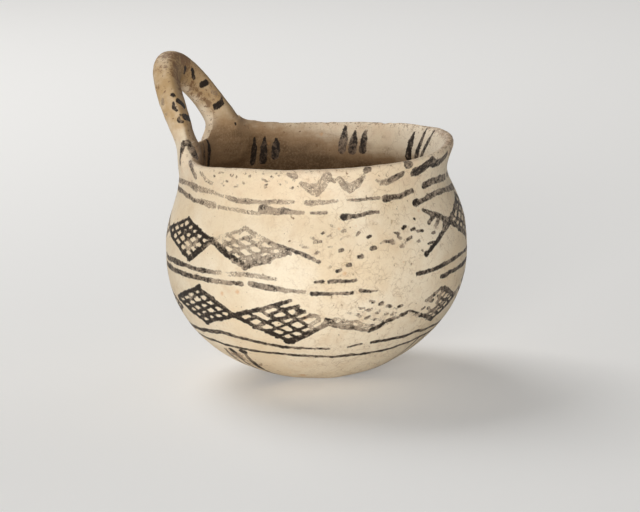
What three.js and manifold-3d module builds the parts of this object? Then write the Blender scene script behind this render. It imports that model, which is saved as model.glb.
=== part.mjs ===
// Hand-built pottery dipper: a round-bottomed cup with one high loop handle that stands on its lip.
// Millimetres, +Z up. The origin is the middle of the flattened spot that the cup rests on.
// The handle stands over -X, with its near leg on the -Y side and its far leg on the +Y side.

import * as THREE from "three";
import { mergeVertices } from "three/addons/utils/BufferGeometryUtils.js";
import Module from "manifold-3d";

const wasm = await Module();
wasm.setup();

// Outline of the cup
const restRadius = 9.8;
const bellyRadius = 52.5;
const bellyHeight = 43.3;
const neckRadius = 46.6;
const neckHeight = 71.2;
const lipRadius = 46.8;
const lipHeight = 80.8;
const lipSway = 2.5; // the lip flares by this much more opposite the handle, and less under it
const swayCurve = 1.6; // above 1 the sway stays in the lip and leaves the neck round
const shoulderFullness = 1.34; // above 1 the shoulder stays full before it draws in to the neck

// Thickness of the clay
const floorThickness = 5.5;
const bellyWall = 4.4;
const neckWall = 4.2;
const lipThickness = 3.5;

// Lapped seams: the edge below is bevelled, and the strip above laps down over its outside
const bowlSeamHeight = 32;
const neckSeamHeight = 62;
const seamLap = 4;
const jointGap = 0.3;

// The lip is drawn up under each leg of the handle
const lipRise = 3.7;
const lipRiseSpread = 9.5;
const farRiseSpread = 19; // the lip falls away more slowly beyond the far leg

// Loop handle: one flattened roll of clay, bent into an arch that leans outwards
const rootAngle = THREE.MathUtils.degToRad(24.8);
const handleTop = 112.8;
const handleLean = 8.9;
const leanCurve = 1.25; // above 1 the legs start upright and lean out towards the crown
const loopWidth = 10.9;
const loopThickness = 9.5;
const legPinch = 0.09; // share by which the legs close in towards the crown
const crownSkew = 2.3; // the crown sits nearer the near leg
const saddleDepth = 3.5; // how far each foot sits down over the lip
const footSpread = 4.2;
const footTaper = 5.7;

// Luting clay pressed into the corners between foot and wall
const luteWidth = 23;
const outerLuteThickness = 2.1;
const innerLuteThickness = 4;
const outerLuteLength = 20;
const innerLuteLength = 16;
const luteDrop = 3; // how far the middle of the clay lies below the lip

// Fineness of the facets
const around = 60;
const bowlSteps = 11;
const strapSteps = 7;
const neckSteps = 6;
const rollSteps = 6;
const loopSides = 16;
const loopSteps = 36;
const luteSides = 24;
const luteRows = 14;

const outside = {
  belly: bellyRadius,
  neck: neckRadius,
  lip: lipRadius,
  depth: bellyHeight / Math.sqrt(1 - (restRadius / bellyRadius) ** 2),
};
const inside = {
  belly: bellyRadius - bellyWall,
  neck: neckRadius - neckWall,
  lip: lipRadius - lipThickness,
  depth: bellyHeight - floorThickness,
};

const rollRadius = lipRadius - lipThickness / 2;
const rollHeight = lipHeight - lipThickness / 2;
const footHeight = lipHeight + lipRise - saddleDepth;
const crownHeight = handleTop - loopWidth / 2;
const nearRoot = Math.PI + rootAngle;
const farRoot = Math.PI - rootAngle;

// Radius of one face of the wall: an ellipse under the belly, a slow draw-in to the neck, a flare to the lip.
function radiusAt(face, height) {
  if (height <= bellyHeight) {
    const drop = (bellyHeight - height) / face.depth;
    return face.belly * Math.sqrt(Math.max(0, 1 - drop ** 2));
  }
  if (height <= neckHeight) {
    const rise = ((height - bellyHeight) / (neckHeight - bellyHeight)) ** shoulderFullness;
    return face.neck + ((face.belly - face.neck) * (1 + Math.cos(Math.PI * rise))) / 2;
  }
  const flare = (height - neckHeight) / (rollHeight - neckHeight);
  return face.neck + (face.lip - face.neck) * flare ** 2;
}

// Evenly spaced places up the wall: by angle where the bowl turns under, and by height above the belly.
function turnAt(face, height) {
  const rise = (height - bellyHeight) / face.depth;
  return rise < 0 ? Math.asin(Math.max(-1, rise)) : rise;
}

function heightAt(face, turn) {
  return bellyHeight + face.depth * (turn < 0 ? Math.sin(turn) : turn);
}

function facePoints(face, from, to, steps, grow = 0) {
  const points = [];
  for (let step = 0; step <= steps; step += 1) {
    const turn = THREE.MathUtils.lerp(turnAt(face, from), turnAt(face, to), step / steps);
    const height = heightAt(face, turn);
    points.push(new THREE.Vector2(radiusAt(face, height) + grow, height));
  }
  return points;
}

function rollPoints(fromAngle, toAngle, grow) {
  const radius = lipThickness / 2 + grow;
  const arc = new THREE.EllipseCurve(rollRadius, rollHeight, radius, radius, fromAngle, toAngle, toAngle < fromAngle);
  return arc.getPoints(rollSteps).slice(1);
}

// Merges shared corners and drops the triangles that the merging closes up, such as those at a pole.
const mergeDistance = 1e-4;

function closedGeometry(geometry) {
  geometry.deleteAttribute("normal");
  geometry.deleteAttribute("uv");
  const merged = mergeVertices(geometry, mergeDistance);
  const corners = merged.index.array;
  const kept = [];
  for (let first = 0; first < corners.length; first += 3) {
    const [a, b, c] = corners.slice(first, first + 3);
    if (a !== b && b !== c && c !== a) {
      kept.push(a, b, c);
    }
  }
  merged.setIndex(kept);
  return merged;
}

function turned(profile) {
  return closedGeometry(new THREE.LatheGeometry(profile, around).rotateX(Math.PI / 2));
}

function closedProfile(points) {
  return [...points, points[0].clone()];
}

function toSolid(geometry) {
  const vertProperties = new Float32Array(geometry.attributes.position.array);
  const triVerts = new Uint32Array(geometry.index.array);
  return new wasm.Manifold(new wasm.Mesh({ numProp: 3, vertProperties, triVerts }));
}

function toGeometry(solid) {
  const mesh = solid.getMesh();
  const geometry = new THREE.BufferGeometry();
  geometry.setAttribute("position", new THREE.BufferAttribute(mesh.vertProperties, 3));
  geometry.setIndex(new THREE.BufferAttribute(mesh.triVerts, 1));
  return geometry;
}

function peakAt(angleAway, spread) {
  const away = (angleAway * rollRadius) / spread;
  return Math.exp(-(away ** 2));
}

// How far the lip lies further out than its mean circle, in a given direction.
function swayAt(azimuth) {
  return lipSway * Math.cos(azimuth);
}

// Sways the lip away from the handle, and lifts it into a soft peak under each leg.
function shapeLip(geometry) {
  const place = geometry.attributes.position;
  for (let index = 0; index < place.count; index += 1) {
    const azimuth = Math.atan2(place.getY(index), place.getX(index));
    const turn = azimuth < 0 ? azimuth + 2 * Math.PI : azimuth;
    const radius = Math.hypot(place.getX(index), place.getY(index));
    const height = place.getZ(index);
    const flare = THREE.MathUtils.clamp((height - neckHeight + seamLap) / (lipHeight - neckHeight + seamLap), 0, 1);
    const swayed = radius > 0 ? radius + flare ** swayCurve * swayAt(azimuth) : 0;
    const share = THREE.MathUtils.smoothstep(height, neckHeight, lipHeight);
    const farSpread = turn < farRoot ? farRiseSpread : lipRiseSpread;
    const peaks = peakAt(turn - nearRoot, lipRiseSpread) + peakAt(turn - farRoot, farSpread);
    const raised = height + lipRise * share * peaks;
    place.setXYZ(index, swayed * Math.cos(azimuth), swayed * Math.sin(azimuth), raised);
  }
  return geometry;
}

// A bevel that slopes by seamLap needs a longer step in height to leave the same gap across it.
function seamRise(wall) {
  return (jointGap * Math.hypot(wall, seamLap)) / wall;
}

function baseBowl() {
  const outer = facePoints(outside, 0, bowlSeamHeight, bowlSteps);
  const inner = facePoints(inside, bowlSeamHeight + seamLap, floorThickness, bowlSteps).slice(0, -1);
  return turned([new THREE.Vector2(0, 0), ...outer, ...inner, new THREE.Vector2(0, floorThickness)]);
}

function shoulderWall() {
  const low = bowlSeamHeight + seamRise(bellyWall);
  const outer = facePoints(outside, low, neckSeamHeight, strapSteps);
  const inner = facePoints(inside, neckSeamHeight + seamLap, low + seamLap, strapSteps);
  return turned(closedProfile([...outer, ...inner]));
}

function neckAndLip() {
  const low = neckSeamHeight + seamRise(neckWall);
  const outer = facePoints(outside, low, rollHeight, neckSteps);
  const inner = facePoints(inside, rollHeight, low + seamLap, neckSteps).slice(1);
  return shapeLip(turned(closedProfile([...outer, ...rollPoints(0, Math.PI, 0), ...inner])));
}

// Everything inside the outer face of the wall, and above the lip's crest, kept clear of the outer lutes.
function withinWall() {
  const outer = facePoints(outside, 0, rollHeight, bowlSteps + strapSteps + neckSteps, jointGap);
  const crest = rollPoints(0, Math.PI / 2, jointGap);
  const above = handleTop + jointGap;
  const column = [new THREE.Vector2(rollRadius, above), new THREE.Vector2(0, above)];
  return toSolid(shapeLip(turned([new THREE.Vector2(0, 0), ...outer, ...crest, ...column])));
}

// The open space inside the wall, up past the lip, that the inner lutes stay within.
// It stops short of the crest, so that the two lutes of a foot don't meet over the lip.
const innerCrestAngle = 0.55 * Math.PI;

function mouthSpace() {
  const inner = facePoints(inside, bellyHeight, rollHeight, strapSteps + neckSteps, -jointGap);
  const crest = rollPoints(Math.PI, innerCrestAngle, jointGap);
  const above = handleTop + jointGap;
  const column = [new THREE.Vector2(crest.at(-1).x, above), new THREE.Vector2(0, above)];
  return toSolid(shapeLip(turned([new THREE.Vector2(0, bellyHeight), ...inner, ...crest, ...column])));
}

// The lip with the joint gap all round it, for cutting the saddle in each foot.
function grownLip() {
  const outer = facePoints(outside, neckHeight - seamLap, rollHeight, neckSteps, jointGap);
  const inner = facePoints(inside, rollHeight, neckHeight - seamLap, neckSteps, -jointGap).slice(1);
  return toSolid(shapeLip(turned(closedProfile([...outer, ...rollPoints(0, Math.PI, jointGap), ...inner]))));
}

// Centre line of the loop, from the near foot (0) over the crown (0.5) to the far foot (1).
function archPoint(along) {
  const rise = Math.sin(Math.PI * along);
  const spread = rootAngle * Math.cos(Math.PI * along) * (1 - legPinch * rise);
  const azimuth = Math.PI + (rollRadius * spread + crownSkew * rise) / (rollRadius + handleLean * rise);
  const radius = rollRadius + swayAt(azimuth) + handleLean * rise ** leanCurve;
  const height = footHeight + (crownHeight - footHeight) * rise;
  return new THREE.Vector3(radius * Math.cos(azimuth), radius * Math.sin(azimuth), height);
}

function archTangent(along) {
  const nearby = 1e-3;
  const before = archPoint(Math.max(0, along - nearby));
  return archPoint(Math.min(1, along + nearby)).sub(before).normalize();
}

// The loop: a straight bar laid along the arch, flattened across the wall and swelling into its feet.
function loopGeometry(grow) {
  const bar = new THREE.CylinderGeometry(1, 1, 1, loopSides, loopSteps);
  const place = bar.attributes.position;
  for (let index = 0; index < place.count; index += 1) {
    const along = THREE.MathUtils.clamp(place.getY(index) + 0.5, 0, 1);
    const point = archPoint(along);
    const tangent = archTangent(along);
    const outwards = new THREE.Vector3(point.x, point.y, 0).normalize();
    outwards.addScaledVector(tangent, -outwards.dot(tangent)).normalize();
    const sideways = new THREE.Vector3().crossVectors(outwards, tangent);
    const foot = Math.exp(-(point.z - footHeight) / footTaper);
    const halfThickness = loopThickness / 2 + grow;
    const halfWidth = loopWidth / 2 + footSpread * foot + grow;
    point.addScaledVector(outwards, place.getX(index) * halfThickness);
    point.addScaledVector(sideways, place.getZ(index) * halfWidth);
    point.addScaledVector(tangent, grow * (2 * along - 1));
    place.setXYZ(index, point.x, point.y, point.z);
  }
  return closedGeometry(bar);
}

// One pat of luting clay, before it is pressed against the wall and the foot.
function clayPat(azimuth, radius, thickness, length) {
  const pat = new THREE.SphereGeometry(1, luteSides, luteRows).rotateX(Math.PI / 2);
  pat.scale(thickness, luteWidth / 2, length / 2);
  pat.translate(radius, 0, lipHeight - luteDrop);
  pat.rotateZ(azimuth);
  return toSolid(closedGeometry(pat));
}

const wallShape = withinWall();
const mouthShape = mouthSpace();
const grownLoop = toSolid(loopGeometry(jointGap));

function outerLute(azimuth) {
  const pat = clayPat(azimuth, lipRadius + swayAt(azimuth), outerLuteThickness, outerLuteLength);
  return toGeometry(pat.subtract(wallShape).subtract(grownLoop));
}

function innerLute(azimuth) {
  const face = lipRadius - lipThickness + swayAt(azimuth);
  const pat = clayPat(azimuth, face, innerLuteThickness, innerLuteLength);
  return toGeometry(pat.intersect(mouthShape).subtract(grownLoop));
}

function handleLoop() {
  return toGeometry(toSolid(loopGeometry(0)).subtract(grownLip()));
}

function piece(name, geometry, color) {
  geometry.computeVertexNormals();
  const clay = new THREE.MeshStandardMaterial({ color, roughness: 0.85, metalness: 0 });
  const mesh = new THREE.Mesh(geometry, clay);
  mesh.name = name;
  return mesh;
}

const slipCream = 0xe3d6b6;
const slipShadow = 0xd6c6a2;
const slipWorn = 0xcdb48d;

const dipper = new THREE.Group();
dipper.add(piece("base_bowl", baseBowl(), slipShadow));
dipper.add(piece("shoulder_wall", shoulderWall(), slipCream));
dipper.add(piece("neck_and_lip", neckAndLip(), slipShadow));
dipper.add(piece("handle_loop", handleLoop(), slipCream));
dipper.add(piece("near_root_lute_outer", outerLute(nearRoot), slipWorn));
dipper.add(piece("near_root_lute_inner", innerLute(nearRoot), slipWorn));
dipper.add(piece("far_root_lute_outer", outerLute(farRoot), slipWorn));
dipper.add(piece("far_root_lute_inner", innerLute(farRoot), slipWorn));

export default dipper;
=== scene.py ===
import math
import random

import bmesh
import bpy
import numpy as np
from mathutils import Matrix, Quaternion, Vector, kdtree, noise


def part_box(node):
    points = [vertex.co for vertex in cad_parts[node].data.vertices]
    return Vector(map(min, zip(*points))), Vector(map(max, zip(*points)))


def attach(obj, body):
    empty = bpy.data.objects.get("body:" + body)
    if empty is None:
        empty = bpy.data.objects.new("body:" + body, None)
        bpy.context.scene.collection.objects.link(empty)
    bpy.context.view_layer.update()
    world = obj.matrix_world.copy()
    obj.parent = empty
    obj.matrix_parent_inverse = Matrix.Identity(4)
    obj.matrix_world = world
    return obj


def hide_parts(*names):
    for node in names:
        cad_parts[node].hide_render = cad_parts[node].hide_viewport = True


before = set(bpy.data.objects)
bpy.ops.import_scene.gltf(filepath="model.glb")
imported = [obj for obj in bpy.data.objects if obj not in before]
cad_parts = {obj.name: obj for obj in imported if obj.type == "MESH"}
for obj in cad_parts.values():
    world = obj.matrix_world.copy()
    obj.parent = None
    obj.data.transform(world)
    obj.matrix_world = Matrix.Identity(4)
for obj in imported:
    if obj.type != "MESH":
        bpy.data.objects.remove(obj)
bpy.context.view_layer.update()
mm = 0.001
scene = bpy.context.scene
scene.view_settings.view_transform = "Standard"
print("frame loaded")


# Camera, floor and light

photo = {
    "lens": 200,
    "sensor": 36,
    "distance": 1.239,
    "azimuth": 21.5,
    "elevation": 11.6,
    "roll": -2.7,
    "target": (0.00106, 0.00042, 0.0412),
}

studio = {
    "floorSize": 6.0,
    "floorTone": (0.78, 0.77, 0.75, 1),
    "floorGlow": 0.25,
    "floorRoughness": 0.9,
    "floorGloss": 0.1,
    "skyTone": (0.93, 0.93, 0.92, 1),
    "skyLight": 0.12,
    "aim": (0, 0, 0.05),
    # name: place, edge length and power
    "lamps": {
        "softKey": ((0.32, -1.40, 0.18), 0.60, 20.0),
        "topSoft": ((-0.85, 0.52, 1.05), 0.8, 11.5),
        "backSoft": ((0.60, 1.25, 0.45), 0.8, 1.8),
    },
}


def aimedAt(target, place):
    return (Vector(place) - Vector(target)).to_track_quat("Z", "Y")


def addCamera():
    turn, rise = math.radians(photo["azimuth"]), math.radians(photo["elevation"])
    back = Vector((math.sin(turn) * math.cos(rise), -math.cos(turn) * math.cos(rise), math.sin(rise)))
    lens = bpy.data.cameras.new("studioCamera")
    lens.lens, lens.sensor_width = photo["lens"], photo["sensor"]
    camera = bpy.data.objects.new("studioCamera", lens)
    camera.location = Vector(photo["target"]) + back * photo["distance"]
    roll = Quaternion((0, 0, 1), math.radians(photo["roll"]))
    camera.rotation_euler = (aimedAt(photo["target"], camera.location) @ roll).to_euler()
    scene.collection.objects.link(camera)
    scene.camera = camera


def addLamps():
    for name, (place, edge, power) in studio["lamps"].items():
        lamp = bpy.data.lights.new(name, "AREA")
        lamp.size, lamp.energy = edge, power
        holder = bpy.data.objects.new(name, lamp)
        holder.location = place
        holder.rotation_euler = aimedAt(studio["aim"], place).to_euler()
        scene.collection.objects.link(holder)


# Shader maths: a Wire is one output that Python expressions can work with

class Wire:
    def __init__(self, finish, socket):
        self.finish, self.socket = finish, socket

    def __add__(self, other):
        return self.finish.maths("ADD", self, other)

    def __sub__(self, other):
        return self.finish.maths("SUBTRACT", self, other)

    def __rsub__(self, other):
        return self.finish.maths("SUBTRACT", other, self)

    def __mul__(self, other):
        return self.finish.maths("MULTIPLY", self, other)

    __radd__ = __add__
    __rmul__ = __mul__


class Finish:
    def __init__(self, owner):
        self.owner = owner  # a material or the world
        owner.use_nodes = True
        self.tree = owner.node_tree
        self.tree.nodes.clear()

    def add(self, kind, settings=None, inputs=None, output=0):
        node = self.tree.nodes.new(kind)
        for name, value in (settings or {}).items():
            setattr(node, name, value)
        for name, value in (inputs or {}).items():
            if isinstance(value, Wire):
                self.tree.links.new(value.socket, node.inputs[name])
            else:
                node.inputs[name].default_value = value
        return None if output is None else Wire(self, node.outputs[output])

    def maths(self, operation, *values):
        return self.add("ShaderNodeMath", {"operation": operation}, dict(enumerate(values)))

    def finish(self, shader, output="ShaderNodeOutputMaterial"):
        self.add(output, {}, {"Surface": shader}, None)

    def attribute(self, name):
        return self.add("ShaderNodeAttribute", {"attribute_name": name}, output="Fac")

    def smooth(self, value, low, high):
        return self.add("ShaderNodeMapRange", {"interpolation_type": "SMOOTHSTEP"},
                        {"Value": value, "From Min": low, "From Max": high})

    def scaled(self, vector, scale):
        return self.add("ShaderNodeVectorMath", {"operation": "MULTIPLY"}, {0: vector, 1: scale})

    def noise(self, vector, scale, detail=3.0, roughness=0.5):
        return self.add("ShaderNodeTexNoise", {}, {"Vector": vector, "Scale": scale, "Detail": detail,
                                                   "Roughness": roughness}, "Fac")

    def mix(self, share, low, high):
        return self.add("ShaderNodeMix", {"data_type": "RGBA"}, {0: share, 6: low, 7: high}, 2)


def addSky():
    sky = Finish(bpy.data.worlds.new("studioSky"))
    scene.world = sky.owner
    lit = sky.add("ShaderNodeBackground", {}, {"Color": (1, 1, 1, 1), "Strength": studio["skyLight"]})
    seen = sky.add("ShaderNodeBackground", {}, {"Color": studio["skyTone"]})
    ray = sky.add("ShaderNodeLightPath", output="Is Camera Ray")
    sky.finish(sky.add("ShaderNodeMixShader", {}, {0: ray, 1: lit, 2: seen}), "ShaderNodeOutputWorld")


def addFloor():
    sheet = bmesh.new()
    bmesh.ops.create_grid(sheet, x_segments=1, y_segments=1, size=studio["floorSize"] / 2)
    mesh = bpy.data.meshes.new("studioFloor")
    sheet.to_mesh(mesh)
    sheet.free()
    floor = bpy.data.objects.new("studioFloor", mesh)
    scene.collection.objects.link(floor)
    paper = Finish(bpy.data.materials.new("palePaper"))
    tone = studio["floorTone"]
    coat = paper.add("ShaderNodeBsdfPrincipled", {}, {
        "Base Color": tone,
        "Roughness": studio["floorRoughness"],
        "Specular IOR Level": studio["floorGloss"],
    })
    glow = paper.add("ShaderNodeEmission", {}, {"Color": tone, "Strength": studio["floorGlow"]})
    bright = paper.add("ShaderNodeAddShader", {}, {0: coat, 1: glow})
    seen = paper.add("ShaderNodeLightPath", output="Is Camera Ray")
    paper.finish(paper.add("ShaderNodeMixShader", {}, {0: seen, 1: coat, 2: bright}))
    mesh.materials.append(paper.owner)


addCamera()
addLamps()
addSky()
addFloor()
print("camera, lamps and floor placed")


# Cup: one outline turned round, then swayed and lifted at the lip by hand. Sizes in mm.

beltLow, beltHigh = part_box("shoulder_wall")
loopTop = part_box("handle_loop")[1][2]

cup = {
    "restRadius": 9.8,
    "bellyRadius": (beltHigh[1] - beltLow[1]) / 2 / mm,
    "bellyHeight": 43.3,
    "neckRadius": 46.6,
    "neckHeight": 71.2,
    "lipRadius": 46.8,
    "lipHeight": 80.8,
    "lipThickness": 3.5,
    "shoulderFullness": 1.34,
    "floorThickness": 5.5,
    "bellyWall": 4.4,
    "neckWall": 4.2,
    "lipSway": 2.5,
    "swayCurve": 1.6,
    "swayStart": 67.2,
    "lipRise": 3.7,
    "riseSpread": 9.5,
    "farRiseSpread": 19.0,
    "steps": 200,
    # levels of the outline under and over the belly, and corners of the rolled lip
    "underLevels": 45,
    "overLevels": 36,
    "lipCorners": 9,
}

rollRadius = cup["lipRadius"] - cup["lipThickness"] / 2
rollHeight = cup["lipHeight"] - cup["lipThickness"] / 2
outerFace = {
    "belly": cup["bellyRadius"],
    "neck": cup["neckRadius"],
    "lip": cup["lipRadius"],
    "depth": cup["bellyHeight"] / math.sqrt(1 - (cup["restRadius"] / cup["bellyRadius"]) ** 2),
}
innerFace = {
    "belly": cup["bellyRadius"] - cup["bellyWall"],
    "neck": cup["neckRadius"] - cup["neckWall"],
    "lip": cup["lipRadius"] - cup["lipThickness"],
    "depth": cup["bellyHeight"] - cup["floorThickness"],
}

handle = {
    "rootAngle": math.radians(24.8),
    "top": loopTop / mm,
    "lean": 8.7,
    "leanCurve": 1.2,
    "width": 11.3,
    "thickness": 9.7,
    "farBroad": 0.13,
    # the legs against the crown, and how much the near and far leg are pinched above the foot
    "legShare": 0.925,
    "waists": (0.2, 0.0),
    "waistHeight": 1.5,
    "waistReach": 5.0,
    "pinch": 0.09,
    "skew": 1.7,
    "saddle": 3.5,
    "footSpread": 3.2,
    "footTaper": 5.7,
    # how square the section of the legs and of the crown is
    "squareness": (4.2, 2.7),
    # turn of the near and the far leg
    "twist": (math.radians(36), math.radians(25)),
    "rings": 60,
    "sides": 32,
}

nearRoot = math.pi + handle["rootAngle"]
farRoot = math.pi - handle["rootAngle"]

pats = {
    "width": 23.0,
    "drop": 3.0,
    "outerThickness": {nearRoot: 1.9, farRoot: 2.8},
    "outerLength": 20.0,
    "innerThickness": {nearRoot: 3.0, farRoot: 1.6},
    "innerLength": 16.0,
}


def faceRadius(face, height):
    height = np.asarray(height, float)
    drop = (cup["bellyHeight"] - height) / face["depth"]
    bowl = face["belly"] * np.sqrt(np.clip(1 - drop**2, 0, 1))
    rise = np.clip((height - cup["bellyHeight"]) / (cup["neckHeight"] - cup["bellyHeight"]), 0, 1)
    draw = (1 + np.cos(np.pi * rise ** cup["shoulderFullness"])) / 2
    shoulder = face["neck"] + (face["belly"] - face["neck"]) * draw
    flare = np.clip((height - cup["neckHeight"]) / (rollHeight - cup["neckHeight"]), 0, 1.2)
    neck = face["neck"] + (face["lip"] - face["neck"]) * flare**2
    upper = np.where(height <= cup["neckHeight"], shoulder, neck)
    return np.where(height <= cup["bellyHeight"], bowl, upper)


def faceHeights(face, lowest):
    start = math.asin(max(-1, (lowest - cup["bellyHeight"]) / face["depth"]))
    turn = np.linspace(start, 0, cup["underLevels"])
    under = cup["bellyHeight"] + face["depth"] * np.sin(turn)
    return np.concatenate([under, np.linspace(cup["bellyHeight"], rollHeight, cup["overLevels"])[1:]])


def spinCup(clay):
    outer, inner = faceHeights(outerFace, 0), faceHeights(innerFace, cup["floorThickness"])
    outline = [(0.0, 0.0)]
    outline += list(zip(faceRadius(outerFace, outer), outer))
    half = cup["lipThickness"] / 2
    for turn in np.linspace(0, math.pi, cup["lipCorners"])[1:-1]:
        outline.append((rollRadius + half * math.cos(turn), rollHeight + half * math.sin(turn)))
    outline += list(zip(faceRadius(innerFace, inner), inner))[::-1]
    outline[-1] = (0.0, cup["floorThickness"])
    points = [clay.verts.new((radius, 0, height)) for radius, height in outline]
    lines = [clay.edges.new(pair) for pair in zip(points, points[1:])]
    bmesh.ops.spin(clay, geom=points + lines, cent=(0, 0, 0), axis=(0, 0, 1), angle=2 * math.pi,
                   steps=cup["steps"], use_merge=True)
    bmesh.ops.remove_doubles(clay, verts=clay.verts, dist=1e-3)
    bmesh.ops.recalc_face_normals(clay, faces=clay.faces)


def peakAt(away, spread):
    return math.exp(-((away * rollRadius / spread) ** 2))


def liftAt(turn):
    farSpread = cup["farRiseSpread"] if turn < farRoot else cup["riseSpread"]
    nearPeak = peakAt(turn - nearRoot, cup["riseSpread"])
    return cup["lipRise"] * (nearPeak + peakAt(turn - farRoot, farSpread))


def swayAt(azimuth):
    return cup["lipSway"] * math.cos(azimuth)


def shapeLip(clay):
    for vert in clay.verts:
        azimuth = math.atan2(vert.co.y, vert.co.x)
        turn = azimuth % (2 * math.pi)
        flare = (vert.co.z - cup["swayStart"]) / (cup["lipHeight"] - cup["swayStart"])
        flare = min(1, max(0, flare)) ** cup["swayCurve"]
        share = min(1, max(0, (vert.co.z - cup["neckHeight"]) / (cup["lipHeight"] - cup["neckHeight"])))
        share = share * share * (3 - 2 * share)
        radius = math.hypot(vert.co.x, vert.co.y)
        radius += flare * swayAt(azimuth) if radius > 1 else 0
        height = vert.co.z + share * liftAt(turn)
        vert.co = (radius * math.cos(azimuth), radius * math.sin(azimuth), height)


footHeight = cup["lipHeight"] + cup["lipRise"] - handle["saddle"]
crownHeight = handle["top"] - handle["width"] / 2


def archPoint(along):
    rise = math.sin(math.pi * along)
    spread = handle["rootAngle"] * math.cos(math.pi * along) * (1 - handle["pinch"] * rise)
    azimuth = math.pi + (rollRadius * spread + handle["skew"] * rise) / (rollRadius + handle["lean"] * rise)
    radius = rollRadius + swayAt(azimuth) + handle["lean"] * rise ** handle["leanCurve"]
    height = footHeight + (crownHeight - footHeight) * rise
    return Vector((radius * math.cos(azimuth), radius * math.sin(azimuth), height))


def archFrame(along):
    nearby = 1e-3
    point = archPoint(along)
    tangent = (archPoint(min(1, along + nearby)) - archPoint(max(0, along - nearby))).normalized()
    outwards = Vector((point.x, point.y, 0)).normalized()
    outwards = (outwards - tangent * outwards.dot(tangent)).normalized()
    return point, tangent, outwards, outwards.cross(tangent)


def sweepHandle(clay):
    before = None
    for ring in range(handle["rings"] + 1):
        along = ring / handle["rings"]
        point, tangent, outwards, sideways = archFrame(along)
        foot = math.exp(-(point.z - footHeight) / handle["footTaper"])
        ends = ring in (0, handle["rings"])
        circle = bmesh.ops.create_circle(clay, segments=handle["sides"], radius=1, cap_ends=ends)["verts"]
        rise = math.sin(math.pi * along) ** 4
        power = handle["squareness"][0] * (1 - rise) + handle["squareness"][1] * rise
        for vert in circle:
            vert.co /= (abs(vert.co.x) ** power + abs(vert.co.y) ** power) ** (1 / power)
        twist = handle["twist"][ring > handle["rings"] / 2] * math.cos(math.pi * along)
        bmesh.ops.rotate(clay, cent=(0, 0, 0), matrix=Matrix.Rotation(twist, 3, "Z"), verts=circle)
        reach = [max(vert.co[axis] for vert in circle) for axis in (0, 1)]
        waist = handle["waists"][0] * (1 - along) + handle["waists"][1] * along
        away = (point.z - footHeight - handle["waistHeight"]) / handle["waistReach"]
        thin = 1 - waist * math.exp(-away ** 2)
        share = handle["legShare"] + (1 - handle["legShare"]) * rise
        halfThick = handle["thickness"] / 2 * thin * share / reach[0]
        broad = share * (1 + handle["farBroad"] * along)
        halfWide = (handle["width"] / 2 * broad + handle["footSpread"] * foot) / reach[1]
        place = Matrix((outwards * halfThick, sideways * halfWide, tangent)).transposed().to_4x4()
        place.translation = point
        bmesh.ops.transform(clay, matrix=place, verts=circle)
        edges = list({edge for vert in circle for edge in vert.link_edges})
        if before:
            bmesh.ops.bridge_loops(clay, edges=before + edges)
        before = edges
    bmesh.ops.recalc_face_normals(clay, faces=clay.faces)


def pressPats(clay):
    for azimuth in (nearRoot, farRoot):
        for face, thickness, length in (
            (cup["lipRadius"], pats["outerThickness"][azimuth], pats["outerLength"]),
            (cup["lipRadius"] - cup["lipThickness"], pats["innerThickness"][azimuth], pats["innerLength"]),
        ):
            ball = bmesh.ops.create_icosphere(clay, subdivisions=4, radius=1)["verts"]
            bmesh.ops.scale(clay, vec=(thickness, pats["width"] / 2, length / 2), verts=ball)
            middle = (face + swayAt(azimuth), 0, cup["lipHeight"] - pats["drop"])
            bmesh.ops.translate(clay, vec=middle, verts=ball)
            bmesh.ops.rotate(clay, cent=(0, 0, 0), matrix=Matrix.Rotation(azimuth, 3, "Z"), verts=ball)


# The clay is worked into one skin, smoothed at the roots and left uneven by the hand

hand = {
    # dips and rises of the lip: direction and breadth in degrees, height
    "lipMarks": (
        (-35, 42, -0.95), (-95, 40, -0.45), (-131, 12, -1.5), (-117, 13, -0.6), (40, 27, 1.3),
        (63, 9, 0.4), (108, 12, 0.4), (124, 13, 0.6), (141, 11, 0.9),
    ),
    # dents and swellings of the wall: direction and breadth in degrees, height, reach up and down, depth
    "wallMarks": ((20, 55, 71.5, 4.5, -0.65), (20, 60, 60, 8, 0.35), (25, 45, 81, 4.5, 0.45)),
    # chips in the lip: direction in degrees, reach, depth
    "chips": (
        (76, 1.5, 0.8), (71.5, 1.1, 0.6), (134, 1.3, 0.5), (104, 1.2, 0.4), (-62, 1.2, 0.35),
        (-108, 1.4, 0.4), (-88, 1.0, 0.35), (12, 1.6, 0.5), (160, 1.2, 0.4), (-20, 1.3, 0.35),
    ),
    "voxel": 1.2,
    # reach round each root and number of strokes with a wet finger
    "smoothing": ((18, 2), (13, 3), (9, 4)),
    # wavelength and depth of the unevenness
    "waves": ((30, 0.45), (10, 0.14), (3.2, 0.035)),
    "scrape": 0.07,
    # how far the lip wanders up and down, and its waves: turns, slice of the noise, share
    "lipWave": 0.22,
    "lipWaves": ((3, 7.7, 1.0), (11, 3.1, 0.5)),
    # the loop stays as it is this far above the lip
    "lipReach": 5,
    "pits": 90,
    "pitReach": (0.7, 1.7),
    "pitDepth": (0.08, 0.3),
    "seed": 4,
    # a pit or chip is felt this many times its reach away
    "pitEdge": 1.6,
    # no point lies lower than this over the table
    "leastHeight": 0.02,
}


def turned(angle):
    return (angle + np.pi) % (2 * np.pi) - np.pi


def meshObject(name, mesh):
    body = bpy.data.objects.new(name, mesh)
    scene.collection.objects.link(body)
    return body


def evaluated(body):
    shown = body.evaluated_get(bpy.context.evaluated_depsgraph_get())
    return bpy.data.meshes.new_from_object(shown)


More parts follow.
